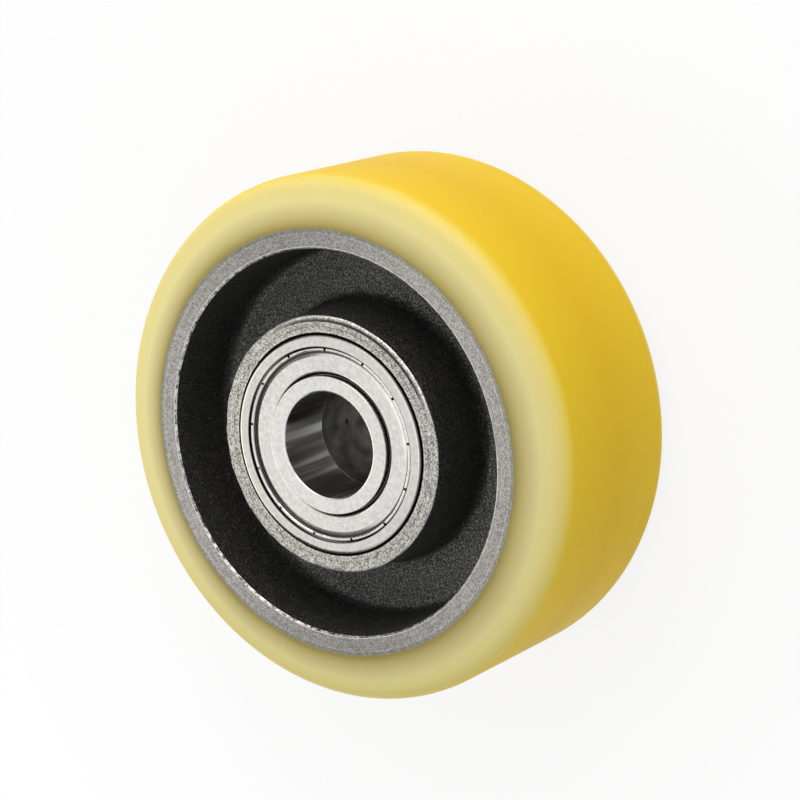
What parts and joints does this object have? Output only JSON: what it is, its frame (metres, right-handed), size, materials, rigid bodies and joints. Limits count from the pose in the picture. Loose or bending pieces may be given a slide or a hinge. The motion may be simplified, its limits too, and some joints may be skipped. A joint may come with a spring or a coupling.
{
  "type": "support wheel",
  "caption": "Solid polyurethane-tyred iron support wheel with recessed web, turning on shielded ball bearings over a spacer tube, for a through axle.",
  "frame": {"origin": "bottom centre: on the axle line, in the plane of the back bearing faces that the wheel stands on", "axes": "+Z along the axle towards the front bearing; the wheel is round about it"},
  "size_m": [0.125, 0.125, 0.0512],
  "materials": {
    "polyurethane_tyre": "smooth cast polyurethane, yellow, paler on the sides",
    "cast_iron": "black painted rough casting with machined grey faces",
    "spacer_steel": "drawn steel tube, dull and oiled",
    "bearing_steel": "ground and honed bearing steel",
    "shield_steel": "pressed bright steel sheet",
    "cage_steel": "pressed mild steel, plain",
    "ball_steel": "polished bearing steel"
  },
  "bodies": {
    "axle_seat": {"spacer_tube": "spacer_steel", "front_inner_ring": "bearing_steel", "back_inner_ring": "bearing_steel"},
    "wheel": {"hub_casting": "cast_iron", "tyre": "polyurethane_tyre", "front_outer_ring": "bearing_steel", "front_outer_shield": "shield_steel", "front_inner_shield": "shield_steel", "back_outer_ring": "bearing_steel", "back_outer_shield": "shield_steel", "back_inner_shield": "shield_steel"},
    "front_cage": {"front_cage_outer_half": "cage_steel", "front_cage_inner_half": "cage_steel", "front_cage_rivets": "cage_steel"},
    "front_ball_1": {"front_ball_1": "ball_steel"},
    "front_ball_2": {"front_ball_2": "ball_steel"},
    "front_ball_3": {"front_ball_3": "ball_steel"},
    "front_ball_4": {"front_ball_4": "ball_steel"},
    "front_ball_5": {"front_ball_5": "ball_steel"},
    "front_ball_6": {"front_ball_6": "ball_steel"},
    "front_ball_7": {"front_ball_7": "ball_steel"},
    "front_ball_8": {"front_ball_8": "ball_steel"},
    "front_ball_9": {"front_ball_9": "ball_steel"},
    "back_cage": {"back_cage_outer_half": "cage_steel", "back_cage_inner_half": "cage_steel", "back_cage_rivets": "cage_steel"},
    "back_ball_1": {"back_ball_1": "ball_steel"},
    "back_ball_2": {"back_ball_2": "ball_steel"},
    "back_ball_3": {"back_ball_3": "ball_steel"},
    "back_ball_4": {"back_ball_4": "ball_steel"},
    "back_ball_5": {"back_ball_5": "ball_steel"},
    "back_ball_6": {"back_ball_6": "ball_steel"},
    "back_ball_7": {"back_ball_7": "ball_steel"},
    "back_ball_8": {"back_ball_8": "ball_steel"},
    "back_ball_9": {"back_ball_9": "ball_steel"}
  },
  "joints": [
    {"name": "wheel_spin", "type": "hinge", "parent": "axle_seat", "child": "wheel", "pos_m": [0, 0, 0.0256], "axis": [0, 0, 1], "continuous": true},
    {"name": "front_cage_spin", "type": "hinge", "parent": "axle_seat", "child": "front_cage", "pos_m": [0, 0, 0.0437], "axis": [0, 0, 1], "continuous": true},
    {"name": "front_ball_1_roll", "type": "hinge", "parent": "front_cage", "child": "front_ball_1", "pos_m": [0.01952, 0, 0.0437], "axis": [0, 0, 1], "continuous": true},
    {"name": "front_ball_2_roll", "type": "hinge", "parent": "front_cage", "child": "front_ball_2", "pos_m": [0.01495, 0.01255, 0.0437], "axis": [0, 0, 1], "continuous": true},
    {"name": "front_ball_3_roll", "type": "hinge", "parent": "front_cage", "child": "front_ball_3", "pos_m": [0.00339, 0.01922, 0.0437], "axis": [0, 0, 1], "continuous": true},
    {"name": "front_ball_4_roll", "type": "hinge", "parent": "front_cage", "child": "front_ball_4", "pos_m": [-0.00976, 0.0169, 0.0437], "axis": [0, 0, 1], "continuous": true},
    {"name": "front_ball_5_roll", "type": "hinge", "parent": "front_cage", "child": "front_ball_5", "pos_m": [-0.01834, 0.00668, 0.0437], "axis": [0, 0, 1], "continuous": true},
    {"name": "front_ball_6_roll", "type": "hinge", "parent": "front_cage", "child": "front_ball_6", "pos_m": [-0.01834, -0.00668, 0.0437], "axis": [0, 0, 1], "continuous": true},
    {"name": "front_ball_7_roll", "type": "hinge", "parent": "front_cage", "child": "front_ball_7", "pos_m": [-0.00976, -0.0169, 0.0437], "axis": [0, 0, 1], "continuous": true},
    {"name": "front_ball_8_roll", "type": "hinge", "parent": "front_cage", "child": "front_ball_8", "pos_m": [0.00339, -0.01922, 0.0437], "axis": [0, 0, 1], "continuous": true},
    {"name": "front_ball_9_roll", "type": "hinge", "parent": "front_cage", "child": "front_ball_9", "pos_m": [0.01495, -0.01255, 0.0437], "axis": [0, 0, 1], "continuous": true},
    {"name": "back_cage_spin", "type": "hinge", "parent": "axle_seat", "child": "back_cage", "pos_m": [0, 0, 0.0075], "axis": [0, 0, 1], "continuous": true},
    {"name": "back_ball_1_roll", "type": "hinge", "parent": "back_cage", "child": "back_ball_1", "pos_m": [0.01952, 0, 0.0075], "axis": [0, 0, 1], "continuous": true},
    {"name": "back_ball_2_roll", "type": "hinge", "parent": "back_cage", "child": "back_ball_2", "pos_m": [0.01495, -0.01255, 0.0075], "axis": [0, 0, 1], "continuous": true},
    {"name": "back_ball_3_roll", "type": "hinge", "parent": "back_cage", "child": "back_ball_3", "pos_m": [0.00339, -0.01922, 0.0075], "axis": [0, 0, 1], "continuous": true},
    {"name": "back_ball_4_roll", "type": "hinge", "parent": "back_cage", "child": "back_ball_4", "pos_m": [-0.00976, -0.0169, 0.0075], "axis": [0, 0, 1], "continuous": true},
    {"name": "back_ball_5_roll", "type": "hinge", "parent": "back_cage", "child": "back_ball_5", "pos_m": [-0.01834, -0.00668, 0.0075], "axis": [0, 0, 1], "continuous": true},
    {"name": "back_ball_6_roll", "type": "hinge", "parent": "back_cage", "child": "back_ball_6", "pos_m": [-0.01834, 0.00668, 0.0075], "axis": [0, 0, 1], "continuous": true},
    {"name": "back_ball_7_roll", "type": "hinge", "parent": "back_cage", "child": "back_ball_7", "pos_m": [-0.00976, 0.0169, 0.0075], "axis": [0, 0, 1], "continuous": true},
    {"name": "back_ball_8_roll", "type": "hinge", "parent": "back_cage", "child": "back_ball_8", "pos_m": [0.00339, 0.01922, 0.0075], "axis": [0, 0, 1], "continuous": true},
    {"name": "back_ball_9_roll", "type": "hinge", "parent": "back_cage", "child": "back_ball_9", "pos_m": [0.01495, 0.01255, 0.0075], "axis": [0, 0, 1], "continuous": true}
  ],
  "couplings": [
    {"joint": "front_cage_spin", "follows": "wheel_spin", "ratio": 0.60167},
    {"joint": "front_ball_1_roll", "follows": "wheel_spin", "ratio": 2.3574},
    {"joint": "front_ball_2_roll", "follows": "wheel_spin", "ratio": 2.3574},
    {"joint": "front_ball_3_roll", "follows": "wheel_spin", "ratio": 2.3574},
    {"joint": "front_ball_4_roll", "follows": "wheel_spin", "ratio": 2.3574},
    {"joint": "front_ball_5_roll", "follows": "wheel_spin", "ratio": 2.3574},
    {"joint": "front_ball_6_roll", "follows": "wheel_spin", "ratio": 2.3574},
    {"joint": "front_ball_7_roll", "follows": "wheel_spin", "ratio": 2.3574},
    {"joint": "front_ball_8_roll", "follows": "wheel_spin", "ratio": 2.3574},
    {"joint": "front_ball_9_roll", "follows": "wheel_spin", "ratio": 2.3574},
    {"joint": "back_cage_spin", "follows": "wheel_spin", "ratio": 0.60167},
    {"joint": "back_ball_1_roll", "follows": "wheel_spin", "ratio": 2.3574},
    {"joint": "back_ball_2_roll", "follows": "wheel_spin", "ratio": 2.3574},
    {"joint": "back_ball_3_roll", "follows": "wheel_spin", "ratio": 2.3574},
    {"joint": "back_ball_4_roll", "follows": "wheel_spin", "ratio": 2.3574},
    {"joint": "back_ball_5_roll", "follows": "wheel_spin", "ratio": 2.3574},
    {"joint": "back_ball_6_roll", "follows": "wheel_spin", "ratio": 2.3574},
    {"joint": "back_ball_7_roll", "follows": "wheel_spin", "ratio": 2.3574},
    {"joint": "back_ball_8_roll", "follows": "wheel_spin", "ratio": 2.3574},
    {"joint": "back_ball_9_roll", "follows": "wheel_spin", "ratio": 2.3574}
  ]
}
